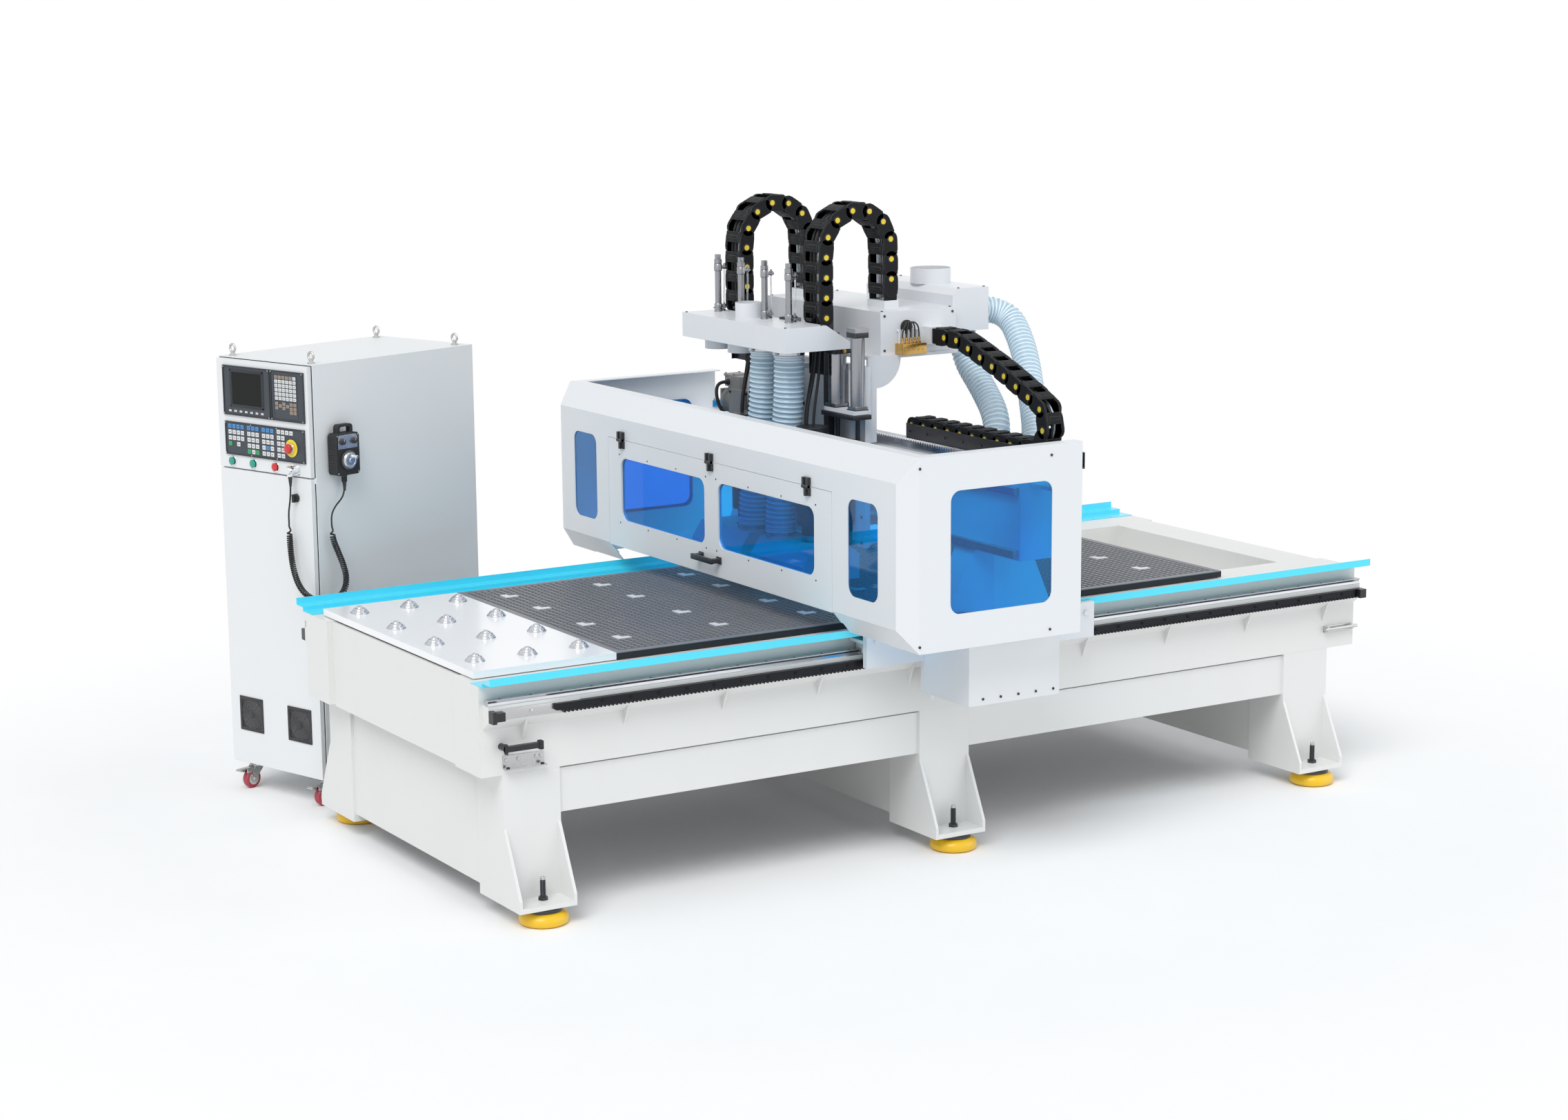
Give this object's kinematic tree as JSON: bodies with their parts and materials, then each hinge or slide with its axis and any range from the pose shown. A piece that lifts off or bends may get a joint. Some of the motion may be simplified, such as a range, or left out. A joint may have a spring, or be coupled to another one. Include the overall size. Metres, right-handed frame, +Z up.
{
  "type": "cnc router",
  "caption": "Moving-gantry wood router with guarded two-spindle head, vacuum table, dust hoses and free-standing control cabinet.",
  "frame": {"origin": "on the floor under the middle of the whole machine and its cabinet", "axes": "+X along the bed away from the loading end, +Y towards the side where the cabinet stands, +Z up"},
  "size_m": [3.9466, 3.096, 2.377],
  "materials": {
    "bed_white": "satin white powder coat",
    "leg_white": "satin white powder coat",
    "foot_yellow": "yellow painted pad, zinc stud",
    "plate_white": "smooth white enamel on steel plate",
    "ball_steel": "polished balls",
    "table_grey": "milled phenolic",
    "cover_cyan": "bright blue gloss paint",
    "rail_steel": "ground hardened steel",
    "black_steel": "satin black",
    "cast_black": "oiled dark steel",
    "cabinet_white": "fine texture white powder coat",
    "zinc": "zinc plated",
    "panel_grey": "screened membrane panel",
    "red_plastic": "gloss red",
    "green_plastic": "gloss green",
    "black_rubber": "matt black",
    "black_plastic": "matt black",
    "chain_plastic": "matt black nylon",
    "guard_blue": "tinted polycarbonate",
    "guard_white": "satin white powder coat",
    "cylinder_alu": "anodised tube",
    "motor_grey": "grey motor enamel",
    "tool_steel": "turned steel",
    "hose_clear": "clear blue ribbed hose",
    "hose_grey": "grey ribbed hose",
    "hood_plastic": "white sheet hood"
  },
  "bodies": {
    "base": {"bed_frame": "bed_white", "legs": "leg_white", "leveling_feet": "foot_yellow", "loading_plate": "plate_white", "ball_transfers": "ball_steel", "vacuum_table": "table_grey", "rail_covers": "cover_cyan", "x_rails": "rail_steel", "end_stops": "black_steel", "cabinet_shell": "cabinet_white", "casters": "zinc", "eyebolts": "zinc", "cabinet_door": "cabinet_white", "console_door": "cabinet_white", "console_panel": "panel_grey", "cord_connector": "zinc", "pendant_body": "black_rubber", "cord_lead_cabinet": "black_rubber", "pendant_cord": "black_rubber", "cord_lead_pendant": "black_rubber"},
    "gantry": {"gantry_beam": "guard_white", "gantry_columns": "guard_white", "x_carriages": "guard_white", "x_drive_boxes": "guard_white", "y_rails": "rail_steel", "guard_shell": "guard_white", "guard_windows": "guard_blue", "guard_hinges": "black_steel", "cable_chain_y": "chain_plastic"},
    "x_pinions": {"x_pinions": "cast_black"},
    "guard_door": {"guard_door": "guard_white", "door_windows": "guard_blue", "door_hardware": "black_steel"},
    "head": {"head_carriage": "black_steel", "head_box": "guard_white", "front_manifold": "guard_white", "rear_manifold": "guard_white", "air_cylinders": "cylinder_alu", "y_drive": "motor_grey", "dust_hose_right": "hose_clear", "dust_hose_left": "hose_clear", "rear_hose_upper": "hose_grey", "rear_hose_lower": "hose_grey", "cable_chains_z": "chain_plastic"},
    "y_pinion": {"y_pinion": "cast_black"},
    "dust_gates": {"dust_gates": "cylinder_alu"},
    "spindle_right": {"spindle_unit_right": "motor_grey", "dust_hood_right": "hood_plastic"},
    "rotor_right": {"spindle_rotor_right": "tool_steel"},
    "spindle_left": {"spindle_unit_left": "motor_grey", "dust_hood_left": "hood_plastic"},
    "rotor_left": {"spindle_rotor_left": "tool_steel"},
    "lock_knob": {"lock_knob": "black_plastic"},
    "estop_button": {"estop_button": "red_plastic"},
    "run_button": {"run_button": "green_plastic"},
    "reset_button": {"reset_button": "green_plastic"},
    "stop_button": {"stop_button": "red_plastic"},
    "pendant_handwheel": {"pendant_handwheel": "cylinder_alu"},
    "pendant_knob_left": {"pendant_knob_left": "black_plastic"},
    "pendant_knob_right": {"pendant_knob_right": "black_plastic"}
  },
  "joints": [
    {"name": "gantry_travel", "type": "slide", "parent": "base", "child": "gantry", "axis": [1, 0, 0], "range_m": [-0.41, 1.36]},
    {"name": "x_pinion_spin", "type": "hinge", "parent": "gantry", "child": "x_pinions", "pos_m": [-0.00074, -0.25798, 0.72], "axis": [0, 1, 0], "range_deg": [-2640, 840]},
    {"name": "guard_door_swing", "type": "hinge", "parent": "gantry", "child": "guard_door", "pos_m": [-0.59074, -0.25798, 1.413], "axis": [0, 1, 0], "range_deg": [0, 100]},
    {"name": "head_travel", "type": "slide", "parent": "gantry", "child": "head", "axis": [0, 1, 0], "range_m": [-0.55, 0.26], "deforming": ["cable_chain_y", "rear_hose_upper", "rear_hose_lower"]},
    {"name": "y_pinion_spin", "type": "hinge", "parent": "head", "child": "y_pinion", "pos_m": [0.07026, 0.45403, 1.515], "axis": [1, 0, 0], "range_deg": [-540, 1080]},
    {"name": "dust_gate_lift", "type": "slide", "parent": "head", "child": "dust_gates", "axis": [0, 0, 1], "range_m": [0, 0.05]},
    {"name": "spindle_right_travel", "type": "slide", "parent": "head", "child": "spindle_right", "axis": [0, 0, 1], "range_m": [-0.055, 0.045], "deforming": ["dust_hose_right", "cable_chains_z"]},
    {"name": "spindle_left_travel", "type": "slide", "parent": "head", "child": "spindle_left", "axis": [0, 0, 1], "range_m": [-0.055, 0.045], "deforming": ["dust_hose_left"]},
    {"name": "rotor_right_spin", "type": "hinge", "parent": "spindle_right", "child": "rotor_right", "pos_m": [-0.18974, -0.34797, 1.11], "axis": [0, 0, 1], "continuous": true},
    {"name": "rotor_left_spin", "type": "hinge", "parent": "spindle_left", "child": "rotor_left", "pos_m": [-0.18974, 0.13203, 1.11], "axis": [0, 0, 1], "continuous": true},
    {"name": "lock_turn", "type": "hinge", "parent": "base", "child": "lock_knob", "pos_m": [-1.83085, 0.8328, 1.246], "axis": [0.9498, 0.313, 0], "range_deg": [0, 90]},
    {"name": "estop_button_press", "type": "slide", "parent": "base", "child": "estop_button", "axis": [0.9498, 0.313, 0], "range_m": [0, 0.004], "stiffness_N_per_m": 2500},
    {"name": "run_button_press", "type": "slide", "parent": "base", "child": "run_button", "axis": [0.9498, 0.313, 0], "range_m": [0, 0.003], "stiffness_N_per_m": 1200},
    {"name": "reset_button_press", "type": "slide", "parent": "base", "child": "reset_button", "axis": [0.9498, 0.313, 0], "range_m": [0, 0.003], "stiffness_N_per_m": 1200},
    {"name": "stop_button_press", "type": "slide", "parent": "base", "child": "stop_button", "axis": [0.9498, 0.313, 0], "range_m": [0, 0.003], "stiffness_N_per_m": 1200},
    {"name": "handwheel_turn", "type": "hinge", "parent": "base", "child": "pendant_handwheel", "pos_m": [-1.65174, 0.72863, 1.394], "axis": [0.313, -0.9498, 0], "continuous": true},
    {"name": "knob_left_turn", "type": "hinge", "parent": "base", "child": "pendant_knob_left", "pos_m": [-1.67976, 0.71939, 1.468], "axis": [0.313, -0.9498, 0], "range_deg": [-75, 75]},
    {"name": "knob_right_turn", "type": "hinge", "parent": "base", "child": "pendant_knob_right", "pos_m": [-1.62373, 0.73786, 1.468], "axis": [0.313, -0.9498, 0], "range_deg": [-75, 75]}
  ],
  "couplings": [
    {"joint": "x_pinion_spin", "follows": "gantry_travel", "rad_per_m": -33.333},
    {"joint": "y_pinion_spin", "follows": "head_travel", "rad_per_m": -33.333}
  ]
}
